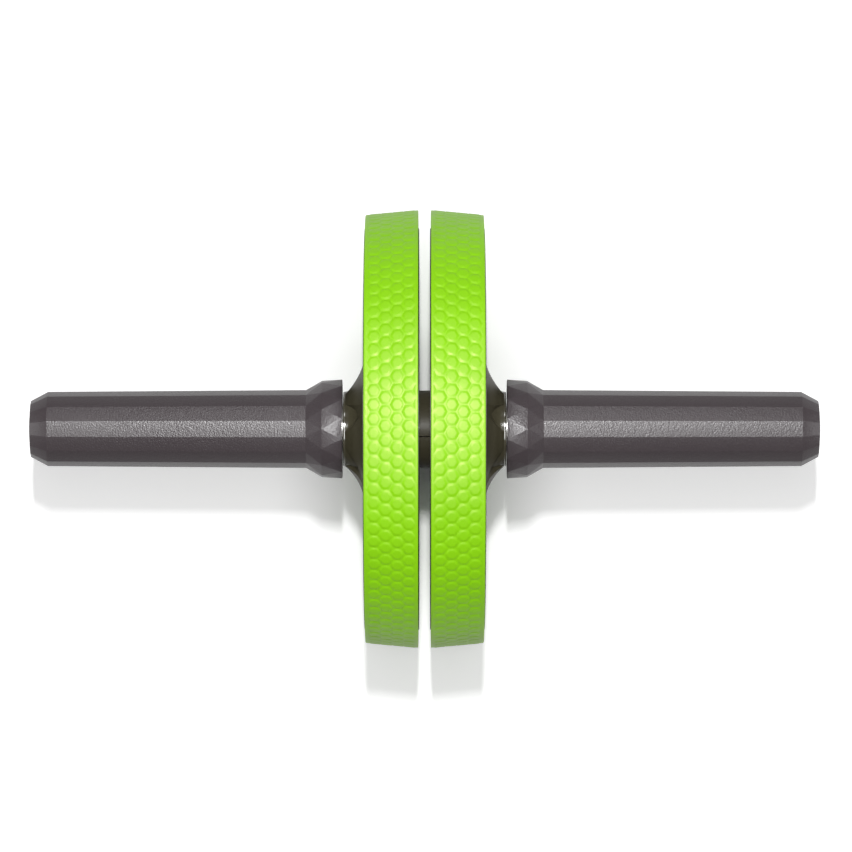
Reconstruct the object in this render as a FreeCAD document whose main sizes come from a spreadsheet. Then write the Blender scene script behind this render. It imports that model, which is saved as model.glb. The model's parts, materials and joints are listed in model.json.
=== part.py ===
"""Ab wheel roller: two tyred wheels on a steel axle between two faceted handles.

The axle lies along X, and the origin is at its middle, between the two wheels.
"""
import FreeCAD, Part
import math
import os
import re

import Sketcher

SIZES = {
    # Fits: the slack of pieces that stay put, of the bushes on the axle, and along the axle
    "seat_clearance": 0.05,
    "run_clearance": 0.05,
    "side_play": 0.2,
    # Axle
    "axle_diameter": 12.0,
    "axle_chamfer": 0.8,
    "axle_draw": 0.5,
    # Wheels and tyres
    "wheel_gap": 5.4,
    "wheel_diameter": 190.0,
    "tread_width": 22.9,
    "tread_drop": 2.1,
    "tread_edge_round": 1.2,
    "tyre_thickness": 8.0,
    "bead_width": 8.0,
    "bead_depth": 2.0,
    "rim_overhang": 0.35,
    "rim_thickness": 7.0,
    # Hub with its flare, and the ridges that stand on the flare
    "hub_length": 32.5,
    "neck_diameter": 32.4,
    "neck_length": 0.8,
    "nose_round": 0.5,
    "flare_radius": 25.0,
    "flare_curve": 10.0,
    "ridge_radius": 28.5,
    "ridge_curve": 25.0,
    "scallop_radius": 7.0,
    "scallop_step": 4.2,
    "scallop_lift": 0.35,
    "scallop_overrun": 4.0,
    # Dish between hub and rim, with a hollow between each two spokes and ribs behind
    "dish_setback": 1.0,
    "dish_rise": 2.6,
    "dish_wall": 3.0,
    "spoke_width": 24.0,
    "hollow_depth": 6.0,
    "hollow_inner_radius": 30.0,
    "hollow_margin": 4.0,
    "hollow_corner": 4.5,
    "hollow_edge_round": 1.2,
    "rib_thickness": 2.2,
    "rib_setback": 1.5,
    "ring_rib_radius": 50.0,
    # Bushes in the hub
    "bush_wall": 2.0,
    "bush_length": 11.5,
    "bush_flange_width": 2.5,
    "bush_flange_thickness": 1.5,
    "bush_proud": 0.15,
    # Split ring between the wheels
    "spacer_diameter": 33.4,
    "spacer_slit": 0.5,
    "spacer_slit_angle": 11.0,
    # Washers at the hub noses
    "thrust_washer_diameter": 26.0,
    "thrust_washer_thickness": 1.0,
    # Grips: corner radius of each fifteen-sided ring, and the lengths between the rings
    "collar_gap": 0.5,
    "collar_face_radius": 21.55,
    "collar_face_length": 8.75,
    "collar_ridge_radius": 21.05,
    "collar_flare_length": 6.9,
    "grip_root_radius": 17.0,
    "grip_length": 111.85,
    "grip_tip_radius": 16.2,
    "grip_chamfer_length": 7.5,
    "grip_end_radius": 12.2,
    "grip_wall": 3.4,
    "grip_lip": 1.1,
    # Handle cores
    "core_flange_length": 7.5,
    "socket_depth": 12.0,
    # End screws and their washers
    "screw_diameter": 6.0,
    "screw_length": 20.0,
    "screw_tip_room": 2.0,
    "screw_head_diameter": 10.5,
    "screw_head_height": 3.3,
    "screw_key_radius": 2.3,
    "screw_key_depth": 2.0,
    "end_washer_diameter": 17.0,
    "end_washer_thickness": 1.6,
    "end_washer_slack": 0.2,
    # End caps
    "cap_stem_diameter": 18.0,
    "cap_stem_length": 5.5,
    "cap_stem_wall": 1.8,
    "cap_dome": 0.75,
}

GRIP_SIDES = 15
SPOKES = 5
RIBS = 10
KEY_SIDES = 6

# How close two places count as the same one
NEAR = 0.01

# Places along the axle, from the middle outwards, and radii, all worked out from the sizes
PLACES = {
    "half_side": f"{180 / GRIP_SIDES} deg",
    "half_spoke": f"{180 / SPOKES} deg",
    "axle_radius": "axle_diameter / 2",
    "bush_bore": "axle_radius + run_clearance",
    "bush_radius": "bush_bore + bush_wall",
    "bush_flange_radius": "bush_radius + bush_flange_width",
    "tread_radius": "wheel_diameter / 2",
    "tyre_bore": "tread_radius - tyre_thickness",
    "tyre_inner": "wheel_gap / 2",
    "tyre_outer": "tyre_inner + tread_width",
    "bead_start": "tyre_inner + (tread_width - bead_width) / 2",
    "bead_end": "bead_start + bead_width",
    "rim_radius": "tyre_bore - seat_clearance",
    "rim_bore": "rim_radius - rim_thickness",
    "rim_inner": "tyre_inner - rim_overhang",
    "rim_outer": "tyre_outer + rim_overhang",
    "hub_bore": "bush_radius + seat_clearance",
    "hub_recess": "bush_flange_radius + seat_clearance",
    "hub_recess_depth": "bush_flange_thickness - bush_proud",
    "hub_inner": "tyre_inner",
    "hub_outer": "hub_inner + hub_length",
    "neck_radius": "neck_diameter / 2",
    "hub_middle": "(hub_bore + neck_radius) / 2",
    "ridge_top": "hub_outer - neck_length",
    "dish_edge": "tyre_outer - dish_setback",
    "dish_centre": "dish_edge + dish_rise",
    "dish_slope": "dish_rise / (rim_bore - hub_middle)",
    "flare_foot": "dish_edge + dish_slope * (rim_bore - flare_radius)",
    "ridge_foot": "dish_edge + dish_slope * (rim_bore - ridge_radius)",
    "hollow_floor": "tyre_outer - hollow_depth",
    "hollow_outer_radius": "rim_bore - hollow_margin",
    "hollow_inner_angle": "half_spoke - asin(spoke_width / 2 / hollow_inner_radius)",
    "hollow_outer_angle": "half_spoke - asin(spoke_width / 2 / hollow_outer_radius)",
    "dish_back": "hollow_floor - dish_wall",
    "dish_middle": "dish_back + dish_wall / 2",
    "rib_face": "hub_inner + rib_setback",
    "spacer_face": "hub_inner - bush_proud - side_play",
    "thrust_inner": "hub_outer + bush_proud + side_play",
    "thrust_outer": "thrust_inner + thrust_washer_thickness",
    "collar_face": "hub_outer + collar_gap",
    "collar_ridge": "collar_face + collar_face_length",
    "grip_root": "collar_ridge + collar_flare_length",
    "grip_tip": "grip_root + grip_length",
    "grip_end": "grip_tip + grip_chamfer_length",
    "flange_cavity": "collar_ridge_radius * cos(half_side) - grip_wall",
    "barrel_cavity": "grip_tip_radius * cos(half_side) - grip_wall",
    "cap_cavity": "grip_end_radius * cos(half_side) - grip_lip",
    "core_inner": "thrust_outer + seat_clearance",
    "core_flange_end": "core_inner + core_flange_length",
    "core_bore": "axle_radius + seat_clearance",
    "socket_floor": "grip_tip - socket_depth",
    "socket_radius": "cap_stem_radius + seat_clearance",
    "axle_end": "socket_floor - axle_draw",
    "washer_inner": "socket_floor + seat_clearance",
    "washer_outer": "washer_inner + end_washer_thickness",
    "screw_radius": "screw_diameter / 2",
    "screw_seat": "washer_outer + seat_clearance",
    "screw_tip": "screw_seat - screw_length",
    "tapped_end": "screw_tip - screw_tip_room",
    "tapped_radius": "screw_radius + seat_clearance",
    "cap_stem_radius": "cap_stem_diameter / 2",
    "cap_seat": "grip_tip + seat_clearance",
    "cap_radius": "cap_cavity - seat_clearance",
}

FACING_RIGHT = FreeCAD.Placement()
FACING_LEFT = FreeCAD.Placement(FreeCAD.Vector(), FreeCAD.Rotation(FreeCAD.Vector(0, 0, 1), 180))
WHEEL_FACING_LEFT = FreeCAD.Placement(FreeCAD.Vector(), FreeCAD.Rotation(FreeCAD.Vector(0, 1, 0), 180))

doc = FreeCAD.newDocument("ab_wheel_roller")
sheet = doc.addObject("Spreadsheet::Sheet", "sizes")
for row, (alias, value) in enumerate(SIZES.items(), start=1):
    sheet.set(f"A{row}", str(value))
    sheet.setAlias(f"A{row}", alias)
doc.recompute()

sub_parts = []


def formula(words):
    """Turn an expression in plain words into one on the sheet's cells."""
    def swap(match):
        word = match.group(0)
        if word in PLACES:
            return f"({formula(PLACES[word])})"
        return f"sizes.{word}" if word in SIZES else word
    return re.sub(r"[a-z_]+", swap, words)


def value_of(words):
    """The number that an expression in plain words comes to."""
    return float(sheet.evalExpression(formula(words)))


def keep(piece, label, placement):
    """Name a finished sub-part and put it in its place."""
    piece.Label = label
    piece.Placement = placement
    sub_parts.append(piece)
    return piece


def origin_feature(body, role):
    return next(feature for feature in body.Origin.OriginFeatures if feature.Role == role)


def sketch_on(body, role, name, offset="0"):
    """A sketch on one of the body's own planes, moved out along the plane's normal."""
    sketch = body.newObject("Sketcher::SketchObject", name)
    sketch.AttachmentSupport = [(origin_feature(body, role), "")]
    sketch.MapMode = "FlatFace"
    sketch.setExpression("AttachmentOffset.Base.z", formula(offset))
    return sketch


def pin_point(sketch, edge, end, across, up):
    """Tie one end of an edge to its two coordinates."""
    for kind, axis, words in (("DistanceX", -2, across), ("DistanceY", -1, up)):
        if words == "0":
            sketch.addConstraint(Sketcher.Constraint("PointOnObject", edge, end, axis))
            continue
        name = f"{kind}_{edge}"
        index = sketch.addConstraint(Sketcher.Constraint(kind, -1, 1, edge, end, value_of(words)))
        sketch.renameConstraint(index, name)
        sketch.setExpression(f"Constraints.{name}", formula(words))


def arc_between(start, end, radius, side):
    """A short arc from start to end, with its centre to the left (side 1) or right (side -1)."""
    chord = end - start
    left = FreeCAD.Vector(-chord.y, chord.x, 0).normalize()
    rise = math.sqrt(radius ** 2 - (chord.Length / 2) ** 2)
    centre = (start + end) / 2 + left * side * rise
    first, last = (start, end) if side > 0 else (end, start)
    circle = Part.Circle(centre, FreeCAD.Vector(0, 0, 1), radius)
    return Part.ArcOfCircle(circle, circle.parameter(first), circle.parameter(last))


def outline(sketch, corners):
    """Draw a closed outline: each corner is (across, up), and the edge that leaves it is straight,
    or an arc where the corner also gives a radius and the side its centre lies on."""
    points = [FreeCAD.Vector(value_of(corner[0]), value_of(corner[1]), 0) for corner in corners]
    joints = []
    for index, corner in enumerate(corners):
        start = points[index]
        end = points[(index + 1) % len(points)]
        first, last = 1, 2
        if len(corner) == 2:
            edge = sketch.addGeometry(Part.LineSegment(start, end))
        else:
            radius, side = corner[2:]
            edge = sketch.addGeometry(arc_between(start, end, value_of(radius), side))
            first, last = (1, 2) if side > 0 else (2, 1)
        joints.append((edge, first, last))
    for index, (edge, first, _) in enumerate(joints):
        before, _, end = joints[index - 1]
        sketch.addConstraint(Sketcher.Constraint("Coincident", before, end, edge, first))
    for (edge, first, _), corner in zip(joints, corners):
        pin_point(sketch, edge, first, corner[0], corner[1])
        if len(corner) > 2:
            name = f"Radius_{edge}"
            radius = value_of(corner[2])
            index = sketch.addConstraint(Sketcher.Constraint("Radius", edge, radius))
            sketch.renameConstraint(index, name)
            sketch.setExpression(f"Constraints.{name}", formula(corner[2]))


def revolve(body, name, corners):
    """Add a solid of revolution round the axle line, from (along, radius) corners."""
    sketch = sketch_on(body, "XY_Plane", f"{name}_profile")
    outline(sketch, corners)
    turn = body.newObject("PartDesign::Revolution", name)
    turn.Profile = sketch
    turn.ReferenceAxis = (sketch, ["H_Axis"])
    turn.Angle = 360
    return turn


def turned(label, placement, corners):
    """A sub-part that is one solid of revolution."""
    body = doc.addObject("PartDesign::Body", label)
    revolve(body, f"{label}_turn", corners)
    return keep(body, label, placement)


def repeat_round_axle(body, feature, count):
    """Repeat a feature evenly round the axle line."""
    pattern = body.newObject("PartDesign::PolarPattern", f"{feature.Name}_ring")
    pattern.Originals = [feature]
    pattern.Axis = (origin_feature(body, "X_Axis"), [""])
    pattern.Angle = 360
    pattern.Occurrences = count
    body.Tip = pattern
    return pattern


def round_edges(body, name, radius, chosen):
    """Round the edges of the body so far that the test picks."""
    doc.recompute()
    base = body.Tip
    edges = [f"Edge{number}" for number, edge in enumerate(base.Shape.Edges, start=1) if chosen(edge)]
    fillet = body.newObject("PartDesign::Fillet", name)
    fillet.Base = (base, edges)
    fillet.setExpression("Radius", formula(radius))
    return fillet


def is_ring(edge, along, radius):
    """Whether an edge is a full circle round the axle line at a place and radius."""
    curve = edge.Curve
    if not isinstance(curve, Part.Circle) or not edge.isClosed():
        return False
    return abs(curve.Center.x - value_of(along)) < NEAR and abs(curve.Radius - value_of(radius)) < NEAR


def make_axle():
    """Steel rod with chamfered ends, tapped for the end screws."""
    turned("axle", FACING_RIGHT, [
        ("-axle_end", "tapped_radius"),
        ("-axle_end", "axle_radius - axle_chamfer"),
        ("-axle_end + axle_chamfer", "axle_radius"),
        ("axle_end - axle_chamfer", "axle_radius"),
        ("axle_end", "axle_radius - axle_chamfer"),
        ("axle_end", "tapped_radius"),
        ("tapped_end", "tapped_radius"),
        ("tapped_end", "0"),
        ("-tapped_end", "0"),
        ("-tapped_end", "tapped_radius"),
    ])


def make_spacer():
    """Ring that keeps the wheels apart, split by a narrow slit on its upper side."""
    label = "centre_spacer"
    body = doc.addObject("PartDesign::Body", label)
    revolve(body, f"{label}_turn", [
        ("-spacer_face", "core_bore"),
        ("-spacer_face", "spacer_diameter / 2"),
        ("spacer_face", "spacer_diameter / 2"),
        ("spacer_face", "core_bore"),
    ])
    sketch = sketch_on(body, "YZ_Plane", f"{label}_slit_outline")
    outline(sketch, [
        ("-spacer_slit / 2", "axle_radius"),
        ("spacer_slit / 2", "axle_radius"),
        ("spacer_slit / 2", "spacer_diameter"),
        ("-spacer_slit / 2", "spacer_diameter"),
    ])
    slit = body.newObject("PartDesign::Pocket", f"{label}_slit")
    slit.Profile = sketch
    slit.Type = "ThroughAll"
    slit.Midplane = True
    keep(body, label, FACING_RIGHT)
    body.setExpression("Placement.Rotation.Angle", formula("spacer_slit_angle * 1 deg"))
    body.Placement.Rotation.Axis = FreeCAD.Vector(1, 0, 0)


def make_tyre(side, placement):
    """Rubber tyre, its tread tapering outwards, with a bead that locks into the rim."""
    label = f"{side}_tyre"
    body = doc.addObject("PartDesign::Body", label)
    revolve(body, f"{label}_turn", [
        ("tyre_inner", "tyre_bore"),
        ("tyre_inner", "tread_radius"),
        ("tyre_outer", "tread_radius - tread_drop"),
        ("tyre_outer", "tyre_bore"),
        ("bead_end", "tyre_bore"),
        ("bead_end", "tyre_bore - bead_depth"),
        ("bead_start", "tyre_bore - bead_depth"),
        ("bead_start", "tyre_bore"),
    ])
    tread_edges = (("tyre_inner", "tread_radius"), ("tyre_outer", "tread_radius - tread_drop"))
    round_edges(body, f"{label}_edges", "tread_edge_round",
                lambda edge: any(is_ring(edge, *ring) for ring in tread_edges))
    keep(body, label, placement)


def add_wheel_plate(body, label):
    """Rim and dish of the wheel, with a ring rib behind, before anything is cut from them."""
    return revolve(body, f"{label}_plate", [
        ("dish_back", "hub_middle"),
        ("dish_back", "ring_rib_radius"),
        ("rib_face", "ring_rib_radius"),
        ("rib_face", "ring_rib_radius + rib_thickness"),
        ("dish_back", "ring_rib_radius + rib_thickness"),
        ("dish_back", "rim_bore"),
        ("rim_inner", "rim_bore"),
        ("rim_inner", "rim_radius"),
        ("bead_start - seat_clearance", "rim_radius"),
        ("bead_start - seat_clearance", "rim_radius - bead_depth"),
        ("bead_end + seat_clearance", "rim_radius - bead_depth"),
        ("bead_end + seat_clearance", "rim_radius"),
        ("rim_outer", "rim_radius"),
        ("rim_outer", "rim_bore"),
        ("dish_edge", "rim_bore"),
        ("dish_centre", "hub_middle"),
    ])


def add_flare(body, label, kind):
    """Curved flare from the neck of the hub out into the dish: of the ridges, or of the hub itself."""
    return revolve(body, f"{label}_{kind}", [
        ("dish_middle", "hub_middle"),
        ("dish_middle", f"{kind}_radius"),
        (f"{kind}_foot", f"{kind}_radius", f"{kind}_curve", 1),
        ("ridge_top", "neck_radius"),
        ("ridge_top", "hub_middle"),
    ])


def cut_scallops(body, label):
    """Cut a round scallop between each two ridges, running out into the hollow."""
    top = ("ridge_top - scallop_step", "neck_radius")
    foot = ("(flare_foot + scallop_lift)", "flare_radius")
    run = f"({foot[0]} - ({top[0]}))"
    rise = f"({foot[1]} - {top[1]})"
    slope = f"sqrt({run} ^ 2 + {rise} ^ 2)"
    shift = (f"scallop_radius * {rise} / {slope}", f"-scallop_radius * {run} / {slope}")
    low = (f"{top[0]} - {run}", f"{top[1]} - {rise}")
    overrun = f"scallop_overrun / {slope}"
    high = (f"{foot[0]} + {overrun} * {run}", f"{foot[1]} + {overrun} * {rise}")
    sketch = sketch_on(body, "XY_Plane", f"{label}_scallop_profile")
    outline(sketch, [
        low,
        high,
        (f"{high[0]} + {shift[0]}", f"{high[1]} + {shift[1]}"),
        (f"{low[0]} + {shift[0]}", f"{low[1]} + {shift[1]}"),
    ])
    scallop = body.newObject("PartDesign::Groove", f"{label}_scallop")
    scallop.Profile = sketch
    scallop.ReferenceAxis = (sketch, ["Edge3"])
    scallop.Angle = 360
    return repeat_round_axle(body, scallop, SPOKES)


def add_hub(body, label):
    """Tube of the hub, with a recess at each end for a bush flange."""
    return revolve(body, f"{label}_hub", [
        ("hub_inner + hub_recess_depth", "hub_bore"),
        ("hub_inner + hub_recess_depth", "hub_recess"),
        ("hub_inner", "hub_recess"),
        ("hub_inner", "neck_radius"),
        ("hub_outer", "neck_radius"),
        ("hub_outer", "hub_recess"),
        ("hub_outer - hub_recess_depth", "hub_recess"),
        ("hub_outer - hub_recess_depth", "hub_bore"),
    ])


def cut_hollows(body, label):
    """Cut a hollow into the dish between each two spokes."""
    inner, outer = (
        (f"hollow_{end}_radius * cos(hollow_{end}_angle)", f"hollow_{end}_radius * sin(hollow_{end}_angle)")
        for end in ("inner", "outer")
    )
    sketch = sketch_on(body, "YZ_Plane", f"{label}_hollow_outline", "hollow_floor")
    outline(sketch, [
        (inner[0], f"-{inner[1]}"),
        (outer[0], f"-{outer[1]}", "hollow_outer_radius", 1),
        (outer[0], outer[1]),
        (inner[0], inner[1], "hollow_inner_radius", -1),
    ])
    hollow = body.newObject("PartDesign::Pocket", f"{label}_hollow")
    hollow.Profile = sketch
    hollow.Reversed = True
    hollow.setExpression("Length", formula("hub_outer - hollow_floor"))
    return repeat_round_axle(body, hollow, SPOKES)


def add_ribs(body, label):
    """Straight ribs behind the dish, from the hub to the rim."""
    sketch = sketch_on(body, "YZ_Plane", f"{label}_rib_outline", "rib_face")
    outline(sketch, [
        ("hub_middle", "-rib_thickness / 2"),
        ("rim_bore + rim_thickness / 4", "-rib_thickness / 2"),
        ("rim_bore + rim_thickness / 4", "rib_thickness / 2"),
        ("hub_middle", "rib_thickness / 2"),
    ])
    rib = body.newObject("PartDesign::Pad", f"{label}_rib")
    rib.Profile = sketch
    rib.setExpression("Length", formula("dish_middle - rib_face"))
    return repeat_round_axle(body, rib, RIBS)


def span(edge):
    """The lowest and highest place along the axle, and the least and most radius, of an edge."""
    points = edge.discretize(9)
    radii = [math.hypot(point.y, point.z) for point in points]
    places = [point.x for point in points]
    return min(places), max(places), min(radii), max(radii)


def is_hollow_corner(edge):
    """Whether an edge stands in a corner of a hollow, along the axle."""
    low, high, inside, outside = span(edge)
    upright = low > value_of("hollow_floor") - NEAR and high - low > NEAR and outside - inside < NEAR
    ends = (value_of("hollow_inner_radius"), value_of("hollow_outer_radius"))
    return upright and min(abs(inside - radius) for radius in ends) < NEAR


def is_hollow_rim(edge):
    """Whether an edge runs round the mouth of a hollow, on the face of the dish."""
    low, _, inside, outside = span(edge)
    if inside < value_of("hollow_inner_radius") - NEAR or outside > value_of("hollow_outer_radius") + NEAR:
        return False
    return low > value_of("hollow_floor + hollow_depth / 2")


def make_wheel_body(side, placement):
    """Moulded wheel: hub with a ridged flare, dish with five hollows, ribs behind and a rim."""
    label = f"{side}_wheel_body"
    body = doc.addObject("PartDesign::Body", label)
    add_wheel_plate(body, label)
    cut_hollows(body, label)
    round_edges(body, f"{label}_hollow_corners", "hollow_corner", is_hollow_corner)
    round_edges(body, f"{label}_hollow_rims", "hollow_edge_round", is_hollow_rim)
    add_flare(body, label, "ridge")
    cut_scallops(body, label)
    add_flare(body, label, "flare")
    add_hub(body, label)
    round_edges(body, f"{label}_nose", "nose_round", lambda edge: is_ring(edge, "hub_outer", "neck_radius"))
    add_ribs(body, label)
    keep(body, label, placement)


def make_bush(side, end, placement):
    """Plain bush with its flange at the inner or the outer end of the hub."""
    face, inward = ("hub_inner - bush_proud", "+") if end == "inner" else ("hub_outer + bush_proud", "-")
    back = f"{face} {inward} bush_flange_thickness"
    tail = f"{face} {inward} bush_length"
    turned(f"{side}_{end}_bush", placement, [
        (face, "bush_bore"),
        (face, "bush_flange_radius"),
        (back, "bush_flange_radius"),
        (back, "bush_radius"),
        (tail, "bush_radius"),
        (tail, "bush_bore"),
    ])


def make_thrust_washer(side, placement):
    turned(f"{side}_thrust_washer", placement, [
        ("thrust_inner", "core_bore"),
        ("thrust_inner", "thrust_washer_diameter / 2"),
        ("thrust_outer", "thrust_washer_diameter / 2"),
        ("thrust_outer", "core_bore"),
    ])


def make_handle_core(side, placement):
    """Rigid sleeve on the axle: a flange under the collar, and a socket for screw and cap at the end."""
    turned(f"{side}_handle_core", placement, [
        ("core_inner", "core_bore"),
        ("core_inner", "flange_cavity - seat_clearance"),
        ("core_flange_end", "flange_cavity - seat_clearance"),
        ("core_flange_end", "barrel_cavity - seat_clearance"),
        ("grip_tip", "barrel_cavity - seat_clearance"),
        ("grip_tip", "socket_radius"),
        ("socket_floor", "socket_radius"),
        ("socket_floor", "core_bore"),
    ])


def polygon_ring(name, place, radius, turn):
    """A fifteen-sided ring square to the axle, its corner radius given, a corner turned from the top."""
    ring = doc.addObject("Part::RegularPolygon", name)
    ring.Polygon = GRIP_SIDES
    ring.setExpression("Circumradius", formula(radius))
    across = FreeCAD.Rotation(FreeCAD.Vector(0, 1, 0), FreeCAD.Vector(0, 0, 1), FreeCAD.Vector(1, 0, 0))
    corner_up = FreeCAD.Rotation(FreeCAD.Vector(1, 0, 0), 90 + turn)
    ring.Placement = FreeCAD.Placement(FreeCAD.Vector(), corner_up * across)
    ring.setExpression("Placement.Base.x", formula(place))
    return ring


def frustum(name, start, end, turn):
    """A fifteen-sided frustum between two (place, corner radius) ends."""
    rings = [polygon_ring(f"{name}_{tag}", *ring, turn) for tag, ring in (("start", start), ("end", end))]
    loft = doc.addObject("Part::Loft", name)
    loft.Sections = rings
    loft.Solid = True
    loft.Ruled = True
    return loft


def gem_band(name, start, end, start_turn, end_turn):
    """A band of triangles between two rings half a side out of step: two frusta, crossed."""
    wider_end = (end[0], f"{end[1]} / cos(half_side)")
    wider_start = (start[0], f"{start[1]} / cos(half_side)")
    band = doc.addObject("Part::MultiCommon", name)
    band.Shapes = [
        frustum(f"{name}_first", start, wider_end, start_turn),
        frustum(f"{name}_second", wider_start, end, end_turn),
    ]
    return band


def make_grip(side, placement):
    """Fifteen-sided soft grip with its gem-cut collar, hollow for the handle core and the end cap."""
    label = f"{side}_grip"
    flat_up = 180 / GRIP_SIDES
    corner_up = 0
    face = ("collar_face", "collar_face_radius")
    ridge = ("collar_ridge", "collar_ridge_radius")
    root = ("grip_root", "grip_root_radius")
    tip = ("grip_tip", "grip_tip_radius")
    end = ("grip_end", "grip_end_radius")
    outside = doc.addObject("Part::MultiFuse", f"{label}_outside")
    outside.Shapes = [
        gem_band(f"{label}_collar", face, ridge, flat_up, corner_up),
        gem_band(f"{label}_flare", ridge, root, corner_up, flat_up),
        frustum(f"{label}_shaft", root, tip, flat_up),
        frustum(f"{label}_chamfer", tip, end, flat_up),
    ]
    inside = doc.addObject("PartDesign::Body", f"{label}_inside")
    revolve(inside, f"{label}_inside_turn", [
        ("collar_face - collar_gap", "0"),
        ("collar_face - collar_gap", "flange_cavity"),
        ("core_flange_end + seat_clearance", "flange_cavity"),
        ("core_flange_end + seat_clearance", "barrel_cavity"),
        ("grip_tip + seat_clearance", "barrel_cavity"),
        ("grip_tip + seat_clearance", "cap_cavity"),
        ("grip_end + cap_dome", "cap_cavity"),
        ("grip_end + cap_dome", "0"),
    ])
    grip = doc.addObject("Part::Cut", label)
    grip.Base = outside
    grip.Tool = inside
    keep(grip, label, placement)


def make_end_washer(side, placement):
    turned(f"{side}_end_washer", placement, [
        ("washer_inner", "screw_radius + end_washer_slack"),
        ("washer_inner", "end_washer_diameter / 2"),
        ("washer_outer", "end_washer_diameter / 2"),
        ("washer_outer", "screw_radius + end_washer_slack"),
    ])


def make_end_screw(side, placement):
    """Button-head screw with a hexagon key hole."""
    label = f"{side}_end_screw"
    body = doc.addObject("PartDesign::Body", label)
    head_top = "screw_seat + screw_head_height"
    head_round = "(screw_head_diameter ^ 2 / 16 + screw_head_height ^ 2) / 2 / screw_head_height"
    revolve(body, f"{label}_turn", [
        ("screw_tip", "0"),
        ("screw_tip", "screw_radius"),
        ("screw_seat", "screw_radius"),
        ("screw_seat", "screw_head_diameter / 2", head_round, -1),
        (head_top, "screw_head_diameter / 4"),
        (head_top, "0"),
    ])
    sketch = sketch_on(body, "YZ_Plane", f"{label}_key_outline", head_top)
    turns = [f"{360 / KEY_SIDES * side_number} deg" for side_number in range(KEY_SIDES)]
    outline(sketch, [
        (f"screw_key_radius * cos({turn})", "0" if index % 3 == 0 else f"screw_key_radius * sin({turn})")
        for index, turn in enumerate(turns)
    ])
    key = body.newObject("PartDesign::Pocket", f"{label}_key")
    key.Profile = sketch
    key.setExpression("Length", formula("screw_key_depth"))
    keep(body, label, placement)


def make_end_cap(side, placement):
    """Domed plug with a hollow stem that pushes into the end of the handle core."""
    dome_radius = "(cap_radius ^ 2 + cap_dome ^ 2) / 2 / cap_dome"
    stem_start = "cap_seat - cap_stem_length"
    turned(f"{side}_end_cap", placement, [
        ("cap_seat", "0"),
        ("cap_seat", "cap_stem_radius - cap_stem_wall"),
        (stem_start, "cap_stem_radius - cap_stem_wall"),
        (stem_start, "cap_stem_radius"),
        ("cap_seat", "cap_stem_radius"),
        ("cap_seat", "cap_radius"),
        ("grip_end", "cap_radius", dome_radius, -1),
        ("grip_end + cap_dome", "0"),
    ])


def main():
    make_axle()
    make_spacer()
    for side, wheel_placement, bar_placement in (
        ("left", WHEEL_FACING_LEFT, FACING_LEFT),
        ("right", FACING_RIGHT, FACING_RIGHT),
    ):
        make_wheel_body(side, wheel_placement)
        make_tyre(side, wheel_placement)
        make_bush(side, "inner", wheel_placement)
        make_bush(side, "outer", wheel_placement)
        make_thrust_washer(side, bar_placement)
        make_handle_core(side, bar_placement)
        make_grip(side, bar_placement)
        make_end_washer(side, bar_placement)
        make_end_screw(side, bar_placement)
        make_end_cap(side, bar_placement)
    doc.recompute()

    failed = [item.Name for item in doc.Objects if "Invalid" in item.State or "Error" in item.State]
    failed += [piece.Label for piece in sub_parts if piece.Shape.isNull() or not piece.Shape.isValid()]
    if failed:
        raise RuntimeError(f"these did not build: {failed}")
    os.makedirs("parts", exist_ok=True)
    for piece in sub_parts:
        piece.Shape.exportStep(f"parts/{piece.Label}.step")


main()
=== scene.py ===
"""Ab wheel roller: hexagon tread, faceted grips and finishes, seen from straight above."""
import json
import math

import bmesh
import bpy
from bmesh.types import BMEdge, BMFace, BMVert
from mathutils import Matrix, Vector


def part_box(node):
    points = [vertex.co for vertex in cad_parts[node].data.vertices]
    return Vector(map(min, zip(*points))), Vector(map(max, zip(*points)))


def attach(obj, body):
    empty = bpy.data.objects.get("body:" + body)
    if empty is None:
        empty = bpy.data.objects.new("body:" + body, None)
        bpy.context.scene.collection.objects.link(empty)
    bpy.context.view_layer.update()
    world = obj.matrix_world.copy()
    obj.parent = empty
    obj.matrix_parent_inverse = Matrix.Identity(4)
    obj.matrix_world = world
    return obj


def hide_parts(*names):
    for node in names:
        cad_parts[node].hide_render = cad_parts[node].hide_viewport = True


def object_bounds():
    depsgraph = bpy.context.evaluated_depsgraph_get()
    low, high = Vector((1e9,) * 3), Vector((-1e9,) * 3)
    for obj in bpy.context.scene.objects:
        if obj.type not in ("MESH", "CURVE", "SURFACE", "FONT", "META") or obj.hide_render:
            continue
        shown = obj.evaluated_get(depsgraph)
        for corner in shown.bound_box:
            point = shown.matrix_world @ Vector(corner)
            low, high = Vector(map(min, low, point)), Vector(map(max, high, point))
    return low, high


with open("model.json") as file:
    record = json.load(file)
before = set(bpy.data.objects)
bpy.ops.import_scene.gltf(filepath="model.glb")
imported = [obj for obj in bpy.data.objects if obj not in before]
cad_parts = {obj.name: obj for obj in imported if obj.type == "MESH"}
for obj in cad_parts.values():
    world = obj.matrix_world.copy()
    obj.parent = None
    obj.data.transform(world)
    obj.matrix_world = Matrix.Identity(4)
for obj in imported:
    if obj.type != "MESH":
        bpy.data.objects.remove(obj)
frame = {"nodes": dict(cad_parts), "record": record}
cad_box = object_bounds()
tyre_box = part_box("right_tyre")

MM = 0.001
SIDES = {"left": -1, "right": 1}

# Points closer than this count as one: on a cut, in one piece, and where a repeat meets the next
ON_CUT = 1e-7
WELD = 1e-6
SEAM_WELD = 2e-6

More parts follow.
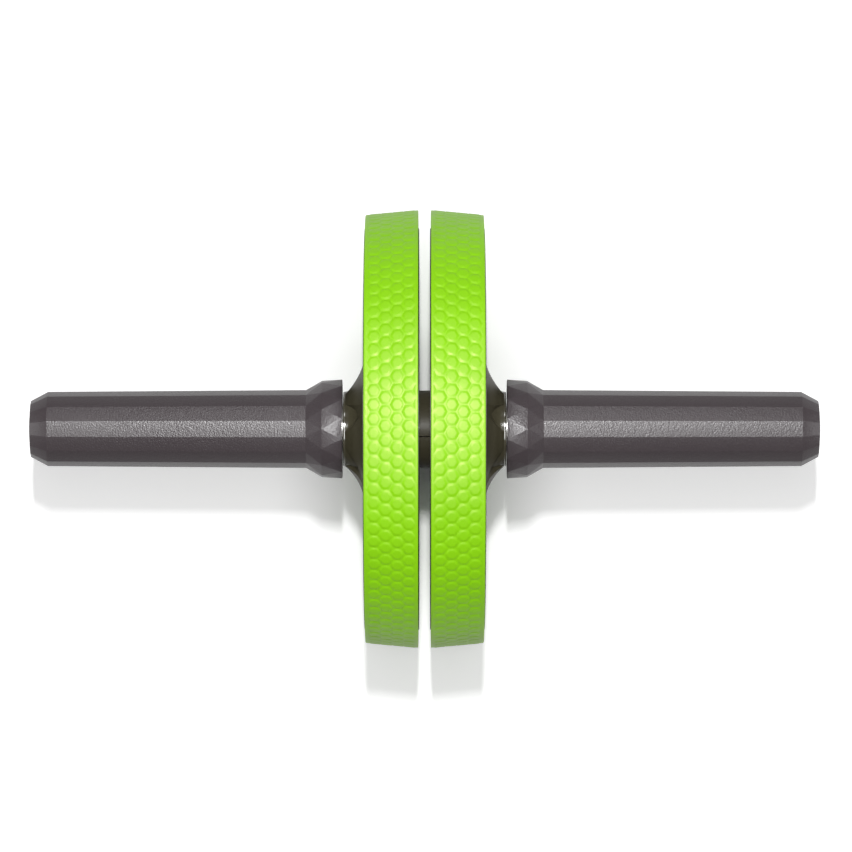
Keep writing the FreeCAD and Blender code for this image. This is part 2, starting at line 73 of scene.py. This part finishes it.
# Tread: a cone that drops outwards, with pillows in columns half a pitch out of step with each other
TREAD_LOW = tyre_box[0][0]
TREAD_WIDTH = tyre_box[1][0] - tyre_box[0][0]
TREAD_INNER_RADIUS = 95.0 * MM
TREAD_DROP = 2.1 * MM
TREAD_CREASE = math.radians(50)
TYRE_THICKNESS = 8.0 * MM
SHOULDER_ROUND = 0.5 * MM
SHOULDER_STEPS = 4
PILLOWS_ROUND = 98
PILLOW_COLUMNS = 4
COLUMN_STEP = 4.92 * MM
PATTERN_SHIFT = -0.2 * MM
PATTERN_TURN = 1.28 * MM

# Pillow: from its edge inwards a valley, a slope, a brow and a slight crown, its corners drawn in to a share
PILLOW_POINTS = 12
PILLOW_HEIGHT = 0.32 * MM
PILLOW_VALLEY = 0.12 * MM
PILLOW_SLOPE = 0.85 * MM
PILLOW_BROW = 0.35 * MM
PILLOW_CROWN = 0.03 * MM
PILLOW_CORNERS = 0.8

# Margins beside the pillows: the pattern fades into a plain band at a share of the pillows' height
MARGIN_WIDTH = 1.3 * MM
MARGIN_FADE = 0.5 * MM
MARGIN_LEVEL = 0.55

# Grips: fifteen-sided rings, as (place along the handle, corner radius, half a side out of step)
GRIP_SIDES = 15
COLLAR_FACE = (35.7 * MM, 21.55 * MM, True)
COLLAR_RIDGE = (44.45 * MM, 21.05 * MM, False)
GRIP_ROOT = (51.35 * MM, 17.0 * MM, True)
GRIP_TIP = (163.2 * MM, 16.2 * MM, True)
GRIP_END = (170.7 * MM, 12.2 * MM, True)
GRIP_EDGE_ROUND = 0.3 * MM
GRIP_EDGE_STEPS = 2
GRIP_CREASE = math.radians(30)
COLLAR_HOLE = 17.19 * MM
COLLAR_HOLE_DEPTH = 2.0 * MM
CAP_HOLE = 10.83 * MM
CAP_HOLE_DEPTH = 5.0 * MM
CAP_RIM = 0.5 * MM
HOLE_SEGMENTS = 60
HOLE_TOLERANCE = 0.1 * MM
FLAT_ANGLE = math.radians(0.5)
SHARP_ANGLE = math.radians(4)

# Hub: the stretch along the axle over which its finish goes from satin to polished
NECK_POLISH = (32.4 * MM, 33.6 * MM)

# Lamps: tilt from overhead in degrees, axis of the tilt, distance, size, and the level to which white is lit
LAMPS = {
    "key": (13, "X", 3.1, (0.065, 0.24), 0.66),
    "top_softbox": (-9, "X", 1.6, (0.62, 1.3), 0.5),
    "far_softbox": (46, "X", 1.6, (0.8, 0.3), 0.15),
    "left_softbox": (75, "Y", 1.6, (0.8, 1.2), 0.2),
    "right_softbox": (-75, "Y", 1.6, (0.8, 1.2), 0.2),
}

# Room: its grey as a light, and the share of its white that reflections see
ROOM_GREY = 0.03
ROOM_SHARE = 0.06

# Floor: its greys for bounced light and for the camera, and the sheet near the roller that reflections see,
# which fades over a stretch outwards from one share of white to another
FLOOR_REACH = 20.0
FLOOR_BOUNCE = 0.25
FLOOR_WHITE = 0.88
SHEET_EDGE = (0.2, 0.45)
SHEET_SHARES = (0.8, 0.15)

# Glow of the floor for the camera: a level on open floor, which fades within a short reach of the roller
# to paint a contact shade there, and which grows with the square of the distance from it, up to a limit,
# to make up for the fall of the lamps
NEAR_LIFT = 0.28
FAR_LIFT = 0.6
FAR_LIFT_LIMIT = 0.9
CONTACT_REACH = 0.045
CONTACT_SAMPLES = 8

# Camera: straight above, at the height that gives a mild perspective, with its scale at the axle
CAMERA_HEIGHT = 2.5
CAMERA_OFFSET = (0.6 * MM, 1.3 * MM)
PIXELS_PER_METRE = 2305.0
IMAGE_PIXELS = 852
SENSOR = 36.0


class Wire:
    """A shader socket that takes part in arithmetic."""

    def __init__(self, finish, socket):
        self.finish = finish
        self.socket = socket

    def _maths(self, operation, first, second):
        return self.finish.node("ShaderNodeMath", {"operation": operation}, {0: first, 1: second})

    def __add__(self, other):
        return self._maths("ADD", self, other)

    def __radd__(self, other):
        return self._maths("ADD", other, self)

    def __mul__(self, other):
        return self._maths("MULTIPLY", self, other)

    def __rmul__(self, other):
        return self._maths("MULTIPLY", other, self)


class Finish:
    """The nodes of a material or of the world: one main shader, and the means to add to it."""

    def __init__(self, owner, shader="Principled BSDF"):
        owner.use_nodes = True
        self.owner = owner
        self.tree = owner.node_tree
        self.shader = self.tree.nodes[shader]

    def node(self, kind, settings=None, inputs=None, output=0):
        """Add a node, with its settings first and then its sockets' values or links."""
        made = self.tree.nodes.new(kind)
        for key, value in (settings or {}).items():
            setattr(made, key, value)
        for key, value in (inputs or {}).items():
            self.feed(made.inputs[key], value)
        return Wire(self, made.outputs[output])

    def feed(self, socket, value):
        """Link a wire to a socket, or set a plain value on it."""
        if isinstance(value, Wire):
            self.tree.links.new(value.socket, socket)
        else:
            socket.default_value = value

    def set(self, **values):
        """Feed the main shader's sockets, named with underscores for spaces."""
        for key, value in values.items():
            self.feed(self.shader.inputs[key.replace("_", " ")], value)

    def place(self):
        """Where a point is on the piece, in metres."""
        return self.node("ShaderNodeTexCoord", output="Object")

    def rays(self):
        """Whether a point is seen by the camera, in a reflection or through something clear."""
        kinds = ("Camera", "Glossy", "Transmission")
        return [self.node("ShaderNodeLightPath", output=f"Is {kind} Ray") for kind in kinds]

    def noise(self, scale, detail=2, roughness=0.5, stretch=(1, 1, 1)):
        """Noise with so many grains to the metre, times a share along each axis."""
        mapped = self.node("ShaderNodeMapping", None, {"Vector": self.place(), "Scale": stretch})
        inputs = {"Vector": mapped, "Scale": scale, "Detail": detail, "Roughness": roughness}
        return self.node("ShaderNodeTexNoise", None, inputs, "Fac")

    def spread(self, value, span, ends=(0, 1), course="SMOOTHSTEP"):
        """A number that goes from one end to the other while a value crosses a span."""
        (start, end), (low, high) = span, ends
        inputs = {"Value": value, "From Min": start, "From Max": end, "To Min": low, "To Max": high}
        return self.node("ShaderNodeMapRange", {"interpolation_type": course}, inputs)

    def blend(self, share, first, second):
        """One colour going into another. A Mix node's colours are its inputs 6 and 7 and its output 2."""
        inputs = {0: share, 6: first, 7: second}
        return self.node("ShaderNodeMix", {"data_type": "RGBA"}, inputs, 2)

    def bump(self, height, depth, strength):
        """Unevenness of the surface: a height from 0 to 1, times a depth in metres."""
        return self.node("ShaderNodeBump", None, {"Height": height, "Distance": depth, "Strength": strength})


def grey(level):
    """A plain grey, as a colour socket takes it."""
    return (level, level, level, 1)


def tread_rubber():
    """Lime rubber, satin, a little dull in its grain and very slightly uneven in colour."""
    finish = Finish(bpy.data.materials.new("tread_rubber"))
    cloud = finish.noise(scale=35, detail=3)
    grain = finish.noise(scale=1800, detail=3, roughness=0.6)
    lime = (0.255, 0.665, 0.001, 1)
    deep_lime = (0.24, 0.63, 0.001, 1)
    patches = finish.spread(cloud, (0.35, 0.7), course="LINEAR")
    finish.set(
        Base_Color=finish.blend(patches, lime, deep_lime),
        Roughness=0.38 + 0.1 * grain,
        Specular_IOR_Level=1.0,
        Specular_Tint=(1, 0.56, 0.52, 1),
        Normal=finish.bump(grain, depth=0.03 * MM, strength=0.3),
    )
    return finish.owner


def grip_rubber():
    """Charcoal soft rubber with a fine moulded grain."""
    finish = Finish(bpy.data.materials.new("grip_rubber"))
    grain = finish.noise(scale=1500, roughness=0.55)
    coarse = finish.noise(scale=700)
    cloud = finish.noise(scale=40, detail=3)
    charcoal = (0.047, 0.037, 0.041, 1)
    worn = (0.06, 0.048, 0.053, 1)
    finish.set(
        Base_Color=finish.blend(0.6 * cloud + 0.4 * grain, charcoal, worn),
        Roughness=0.26 + 0.14 * grain,
        Specular_IOR_Level=0.8,
        Normal=finish.bump(grain + 0.3 * coarse, depth=0.3 * MM, strength=0.4),
    )
    return finish.owner


def hub_plastic():
    """Satin black plastic with faint waves and hair scratches, its neck rubbed to a polish; its olive tint
    is a painted reflection of the green tread.
    """
    finish = Finish(bpy.data.materials.new("hub_plastic"))
    along = finish.node("ShaderNodeSeparateXYZ", None, {0: finish.place()}, "X")
    outwards = finish.node("ShaderNodeMath", {"operation": "ABSOLUTE"}, {0: along})
    polish = finish.spread(outwards, NECK_POLISH)
    wave = finish.noise(scale=160)
    hair = finish.noise(scale=900, detail=3, roughness=0.6, stretch=(0.15, 1, 1))
    # Both blacks carry an olive tint, a painted reflection of the green tread; the lighter one follows the
    # hair scratches.
    black_with_painted_tread_reflection = (0.05, 0.045, 0.025, 1)
    dusty = (0.068, 0.062, 0.038, 1)
    finish.set(
        Base_Color=finish.blend(hair, black_with_painted_tread_reflection, dusty),
        Roughness=0.36 + 0.14 * hair,
        Specular_IOR_Level=0.26,
        Coat_Weight=0.9 * polish,
        Coat_Roughness=0.12,
        Coat_IOR=2.2,
        Normal=finish.bump(wave, depth=0.1 * MM, strength=0.25),
    )
    return finish.owner


def cap_plastic():
    """Satin black-brown plastic of the end caps."""
    finish = Finish(bpy.data.materials.new("cap_plastic"))
    grain = finish.noise(scale=1500)
    cloud = finish.noise(scale=120)
    black_brown = (0.03, 0.023, 0.021, 1)
    dusty = (0.044, 0.035, 0.032, 1)
    finish.set(
        Base_Color=finish.blend(cloud, black_brown, dusty),
        Roughness=0.36 + 0.16 * grain,
        Normal=finish.bump(grain, depth=0.05 * MM, strength=0.4),
    )
    return finish.owner


def core_plastic():
    """Plain black plastic of the sleeves inside the grips."""
    finish = Finish(bpy.data.materials.new("core_plastic"))
    grain = finish.noise(scale=1100)
    finish.set(
        Base_Color=finish.blend(grain, grey(0.016), grey(0.03)),
        Roughness=0.42 + 0.16 * grain,
        Normal=finish.bump(grain, depth=0.05 * MM, strength=0.4),
    )
    return finish.owner


def bush_nylon():
    """Natural nylon, cloudy and slightly waxy."""
    finish = Finish(bpy.data.materials.new("bush_nylon"))
    cloud = finish.noise(scale=260, detail=3)
    waxy = (0.71, 0.68, 0.6, 1)
    milky = (0.79, 0.77, 0.71, 1)
    finish.set(
        Base_Color=finish.blend(cloud, waxy, milky),
        Roughness=0.38 + 0.14 * cloud,
        Normal=finish.bump(cloud, depth=0.04 * MM, strength=0.3),
    )
    return finish.owner


def bright_steel(name, colour, stretch):
    """Steel with fine lines along its turning or drawing marks."""
    finish = Finish(bpy.data.materials.new(name))
    lines = finish.noise(scale=2600, detail=3, roughness=0.6, stretch=stretch)
    dulling = 0.72
    dull = (*(dulling * level for level in colour[:3]), 1)
    finish.set(
        Base_Color=finish.blend(lines, dull, colour),
        Metallic=1.0,
        Roughness=0.22 + 0.2 * lines,
        Normal=finish.bump(lines, depth=0.02 * MM, strength=0.4),
    )
    return finish.owner


def floor_paper():
    """White paper for the camera, lifted to full white where nothing stands near enough to shade it; near
    the wheels the lift fades, a painted contact shade.
    """
    finish = Finish(bpy.data.materials.new("floor_paper"))
    camera, glossy, clear = finish.rays()
    away = finish.node("ShaderNodeVectorMath", {"operation": "LENGTH"}, {0: finish.place()}, "Value")
    seen = camera + finish.spread(away, SHEET_EDGE, SHEET_SHARES) * (glossy + clear)
    # Short-reach occlusion, squared, cuts the glow near the wheels: a painted contact shade on top of the
    # lamps' own shadows.
    nearness = {"Distance": CONTACT_REACH}
    open_sky = finish.node("ShaderNodeAmbientOcclusion", {"samples": CONTACT_SAMPLES}, nearness, "AO")
    fall = {0: FAR_LIFT * away * away, 1: FAR_LIFT_LIMIT}
    far_lift = finish.node("ShaderNodeMath", {"operation": "MINIMUM"}, fall)
    lift = (NEAR_LIFT * open_sky * open_sky + far_lift) * camera
    finish.set(
        Base_Color=finish.blend(seen, grey(FLOOR_BOUNCE), grey(FLOOR_WHITE)),
        Roughness=0.9,
        Specular_IOR_Level=0.0,
        Emission_Color=finish.blend(lift, grey(0), grey(1)),
        Emission_Strength=1.0,
    )
    return finish.owner


def ease(share):
    """A share, held between 0 and 1, that starts and ends softly."""
    held = min(1.0, max(0.0, share))
    return held * held * (3 - 2 * held)


def only(kind, items):
    """The vertices, edges or faces among mixed items of a mesh."""
    return [item for item in items if isinstance(item, kind)]


def whole(mesh):
    """Everything in a mesh, as the operators take it."""
    return mesh.verts[:] + mesh.edges[:] + mesh.faces[:]


def tread_line(across):
    """Radius of the tread's cone, at a distance outwards from its middle line."""
    return TREAD_INNER_RADIUS - TREAD_DROP * (0.5 + across / TREAD_WIDTH)


def pillow(mesh, pitch):
    """One hexagon pillow with rounded corners, its flat sides ahead and behind, in the unrolled plane."""
    apothem = pitch / 2
    foot = apothem - PILLOW_VALLEY
    brow = foot - PILLOW_SLOPE
    normals = [Vector((math.cos(turn), math.sin(turn), 0)) for turn in (0, math.pi / 3, 2 * math.pi / 3)]

    def reach(vertex):
        return max(abs(vertex.co.dot(normal)) for normal in normals)

    made = bmesh.ops.create_circle(mesh, cap_ends=True, segments=PILLOW_POINTS, radius=apothem)
    for vertex in made["verts"]:
        vertex.co *= apothem / reach(vertex)
    face = made["verts"][0].link_faces[0]
    for inset in (PILLOW_VALLEY, PILLOW_SLOPE / 2, PILLOW_SLOPE / 2, PILLOW_BROW):
        bmesh.ops.inset_individual(mesh, faces=[face], thickness=inset, use_even_offset=True)
    bmesh.ops.poke(mesh, faces=[face])
    for vertex in mesh.verts:
        side = reach(vertex)
        if 0 < side < apothem - PILLOW_VALLEY / 2:
            corner = vertex.co.length / side
            vertex.co *= (1 + PILLOW_CORNERS * (corner - 1)) / corner
        slope = (PILLOW_HEIGHT - PILLOW_CROWN) * ease((foot - side) / PILLOW_SLOPE)
        vertex.co.z = slope + PILLOW_CROWN * max(0.0, 1 - side / brow)


def pillow_strip(mesh, pitch):
    """A strip of pillows one pitch long, clipped at the margins of the tread and faded into them."""
    lean = math.cos(math.pi / 6)
    pillow(mesh, COLUMN_STEP / lean)
    bmesh.ops.scale(mesh, verts=mesh.verts, vec=(pitch * lean / COLUMN_STEP, 1, 1))
    cell = whole(mesh)
    for column in range(-1, PILLOW_COLUMNS + 1):
        copy = bmesh.ops.duplicate(mesh, geom=cell)["geom"]
        across = (column - (PILLOW_COLUMNS - 1) / 2) * COLUMN_STEP + PATTERN_SHIFT
        along = PATTERN_TURN + (column % 2) * pitch / 2
        bmesh.ops.translate(mesh, verts=only(BMVert, copy), vec=(along, across, 0))
    bmesh.ops.delete(mesh, geom=only(BMVert, cell), context="VERTS")
    margin = TREAD_WIDTH / 2 - MARGIN_WIDTH
    for end in (-1, 1):
        bmesh.ops.bisect_plane(mesh, geom=whole(mesh), plane_co=(0, end * margin, 0), plane_no=(0, end, 0),
                               clear_outer=True, dist=ON_CUT)
    bmesh.ops.remove_doubles(mesh, verts=mesh.verts, dist=WELD)
    level = MARGIN_LEVEL * PILLOW_HEIGHT
    for vertex in mesh.verts:
        inside = ease((margin - abs(vertex.co.y)) / MARGIN_FADE)
        vertex.co.z = level + (vertex.co.z - level) * inside
    return margin, level


def shoulder_stations(end, level):
    """Places across and heights above the tread's line, from a margin over the shoulder to the bore."""
    half = TREAD_WIDTH / 2
    for step in range(SHOULDER_STEPS + 1):
        turn = math.pi / 2 * step / SHOULDER_STEPS
        across = half - SHOULDER_ROUND * (1 - math.sin(turn))
        start = level - PILLOW_HEIGHT
        yield end * across, start - (1 - math.cos(turn)) * (SHOULDER_ROUND + start)
    yield end * half, TREAD_INNER_RADIUS - TYRE_THICKNESS - tread_line(end * half)


def add_shoulder(mesh, end, margin, level):
    """Carry one margin of the strip over the shoulder and down the side of the tyre."""
    def on_margin(vertex):
        return abs(vertex.co.y - end * margin) < ON_CUT

    rim = [edge for edge in mesh.edges if all(on_margin(vertex) for vertex in edge.verts)]
    for across, height in shoulder_stations(end, level):
        made = bmesh.ops.extrude_edge_only(mesh, edges=rim)["geom"]
        rim = only(BMEdge, made)
        for vertex in only(BMVert, made):
            vertex.co.y = across
            vertex.co.z = height


def tread_mesh(side):
    """The whole tyre: a strip of pillows and shoulders, wrapped round the wheel and repeated."""
    mesh = bmesh.new()
    pitch = 2 * math.pi * tread_line(0) / PILLOWS_ROUND
    margin, level = pillow_strip(mesh, pitch)
    bmesh.ops.translate(mesh, verts=mesh.verts, vec=(0, 0, -PILLOW_HEIGHT))
    for end in (-1, 1):
        add_shoulder(mesh, end, margin, level)
    middle = side * (TREAD_LOW + TREAD_WIDTH / 2)
    for vertex in mesh.verts:
        along, across, height = vertex.co
        turn = along / tread_line(0)
        radius = tread_line(across) + height
        vertex.co = (middle + side * across, radius * math.sin(turn), radius * math.cos(turn))
    repeats = PILLOWS_ROUND - 1
    bmesh.ops.spin(mesh, geom=whole(mesh), cent=(0, 0, 0), axis=(1, 0, 0), steps=repeats,
                   angle=2 * math.pi * repeats / PILLOWS_ROUND, use_duplicate=True)
    bmesh.ops.remove_doubles(mesh, verts=mesh.verts, dist=SEAM_WELD)
    bmesh.ops.bridge_loops(mesh, edges=[edge for edge in mesh.edges if edge.is_boundary])
    bmesh.ops.recalc_face_normals(mesh, faces=mesh.faces)
    return mesh


def ring_corners(mesh, side, place, radius, half_step):
    """A fifteen-sided ring square to the handle, turned by half a side where it is out of step."""
    made = bmesh.ops.create_circle(mesh, segments=GRIP_SIDES, radius=radius)
    upright = Matrix.Rotation(math.pi / 2, 4, "X")
    across = Matrix.Rotation(math.pi / 2, 4, "Z")
    spun = Matrix.Rotation(math.pi / GRIP_SIDES if half_step else 0.0, 4, "X")
    matrix = Matrix.Translation((side * place, 0, 0)) @ spun @ across @ upright
    bmesh.ops.transform(mesh, matrix=matrix, verts=made["verts"])
    return made["verts"]


def lies_at(item, place):
    """Whether a whole edge or face of a grip lies at one place along the handle."""
    return all(abs(abs(vertex.co.x) - place) < WELD for vertex in item.verts)


def grip_facets(mesh, side):
    """The facets of the collar and of the handle, which meet at the grip's root, open at both ends."""
    for rings in ((COLLAR_FACE, COLLAR_RIDGE, GRIP_ROOT), (GRIP_ROOT, GRIP_TIP, GRIP_END)):
        corners = [vertex for ring in rings for vertex in ring_corners(mesh, side, *ring)]
        hull = bmesh.ops.convex_hull(mesh, input=corners, use_existing_faces=False)
        ends = [face for face in only(BMFace, hull["geom"])
                if lies_at(face, rings[0][0]) or lies_at(face, rings[-1][0])]
        bmesh.ops.delete(mesh, geom=ends, context="FACES")
    bmesh.ops.remove_doubles(mesh, verts=mesh.verts, dist=WELD)
    bmesh.ops.dissolve_limit(mesh, angle_limit=FLAT_ANGLE, verts=mesh.verts, edges=mesh.edges)


def open_mouth(mesh, side, place, radius, depth):
    """A round recess in one end of a grip, its depth counted outwards along the handle."""
    mouth = [edge for edge in mesh.edges if edge.is_boundary and lies_at(edge, place)]
    made = bmesh.ops.create_circle(mesh, segments=HOLE_SEGMENTS, radius=radius)
    turned = Matrix.Translation((side * place, 0, 0)) @ Matrix.Rotation(math.pi / 2, 4, "Y")
    bmesh.ops.transform(mesh, matrix=turned, verts=made["verts"])
    rim = list({edge for vertex in made["verts"] for edge in vertex.link_edges})
    bmesh.ops.bridge_loops(mesh, edges=mouth + rim)
    wall = bmesh.ops.extrude_edge_only(mesh, edges=rim)["geom"]
    bmesh.ops.translate(mesh, verts=only(BMVert, wall), vec=(side * depth, 0, 0))
    bmesh.ops.contextual_create(mesh, geom=only(BMEdge, wall))


def is_outer_corner(edge):
    """Whether an edge is a corner on the outside of a grip, and not the rim of a recess."""
    radii = [math.hypot(vertex.co.y, vertex.co.z) for vertex in edge.verts]
    by_cap = min(radii) <= CAP_HOLE + CAP_RIM
    on_collar_hole = all(abs(radius - COLLAR_HOLE) < HOLE_TOLERANCE for radius in radii)
    return edge.is_manifold and edge.calc_face_angle() > SHARP_ANGLE and not by_cap and not on_collar_hole


def grip_skin_mesh(side):
    """Grip with its gem-cut collar, every outer edge softened, and open mouths for the core and the cap."""
    mesh = bmesh.new()
    grip_facets(mesh, side)
    open_mouth(mesh, side, COLLAR_FACE[0], COLLAR_HOLE, COLLAR_HOLE_DEPTH)
    open_mouth(mesh, side, GRIP_END[0], CAP_HOLE, -CAP_HOLE_DEPTH)
    bmesh.ops.recalc_face_normals(mesh, faces=mesh.faces)
    corners = [edge for edge in mesh.edges if is_outer_corner(edge)]
    bmesh.ops.bevel(mesh, geom=corners, offset=GRIP_EDGE_ROUND, offset_type="OFFSET", affect="EDGES",
                    segments=GRIP_EDGE_STEPS, profile=0.5, material=-1, clamp_overlap=True)
    return mesh


def add_piece(name, mesh, slot, body, node, crease):
    """Make an object of a finished mesh that stands for a CAD node and rides on its body."""
    data = bpy.data.meshes.new(name)
    mesh.to_mesh(data)
    mesh.free()
    data.shade_smooth()
    data.set_sharp_from_angle(angle=crease)
    data.materials.append(finishes[slot])
    piece = bpy.data.objects.new(name, data)
    bpy.context.collection.objects.link(piece)
    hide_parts(node)
    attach(piece, body)


def dress_nodes():
    """Give each CAD node the finish of its slot."""
    for part in frame["record"]["subparts"]:
        node = frame["nodes"][part["node"]]
        for slot in node.material_slots:
            slot.material = finishes[part["material_slot"]]


def studio_floor(level):
    """A wide floor at the foot of the wheels."""
    mesh = bmesh.new()
    bmesh.ops.create_grid(mesh, x_segments=1, y_segments=1, size=FLOOR_REACH)
    bmesh.ops.translate(mesh, verts=mesh.verts, vec=(0, 0, level))
    data = bpy.data.meshes.new("floor")
    mesh.to_mesh(data)
    mesh.free()
    data.materials.append(floor_paper())
    floor = bpy.data.objects.new("floor", data)
    bpy.context.collection.objects.link(floor)


def add_lamp(name, tilt, axis, distance, size, level):
    """A lamp aimed at the object, tilted from overhead about an axis, that lights white to a level."""
    lamp = bpy.data.lights.new(name, "AREA")
    lamp.shape = "RECTANGLE"
    lamp.size, lamp.size_y = size
    lamp.energy = level * (math.pi * distance) ** 2
    holder = bpy.data.objects.new(name, lamp)
    turned = Matrix.Rotation(-math.radians(tilt), 4, axis)
    holder.matrix_world = turned @ Matrix.Translation((0, 0, distance))
    holder.visible_camera = False
    bpy.context.collection.objects.link(holder)


def studio_room():
    """A dim room that looks white to the camera, and a little so in reflections."""
    room = Finish(bpy.data.worlds.new("room"), "Background")
    camera, glossy, clear = room.rays()
    seen = camera + ROOM_SHARE * (glossy + clear)
    room.set(Color=room.blend(seen, grey(ROOM_GREY), grey(1)))
    bpy.context.scene.world = room.owner


def camera_above():
    """Camera straight over the axle, the object filling the photograph's frame."""
    data = bpy.data.cameras.new("camera")
    data.sensor_width = SENSOR
    data.lens = SENSOR * CAMERA_HEIGHT * PIXELS_PER_METRE / IMAGE_PIXELS
    camera = bpy.data.objects.new("camera", data)
    camera.location = (*CAMERA_OFFSET, CAMERA_HEIGHT)
    bpy.context.collection.objects.link(camera)
    bpy.context.scene.camera = camera


finishes = {
    "tread_rubber": tread_rubber(),
    "grip_rubber": grip_rubber(),
    "hub_plastic": hub_plastic(),
    "cap_plastic": cap_plastic(),
    "core_plastic": core_plastic(),
    "bush_nylon": bush_nylon(),
    "axle_steel": bright_steel("axle_steel", colour=(0.56, 0.57, 0.58, 1), stretch=(0.05, 1, 1)),
    "fastener_steel": bright_steel("fastener_steel", colour=(0.62, 0.61, 0.58, 1), stretch=(1, 0.2, 0.2)),
}
dress_nodes()
for side_name, side in SIDES.items():
    add_piece(f"{side_name}_hex_tread", tread_mesh(side), "tread_rubber",
              f"{side_name}_wheel", f"{side_name}_tyre", TREAD_CREASE)
    add_piece(f"{side_name}_gem_grip", grip_skin_mesh(side), "grip_rubber",
              "handlebar", f"{side_name}_grip", GRIP_CREASE)

studio_floor(cad_box[0][2])
for lamp_name, setting in LAMPS.items():
    add_lamp(lamp_name, *setting)
studio_room()
camera_above()
bpy.context.scene.view_settings.view_transform = "Standard"
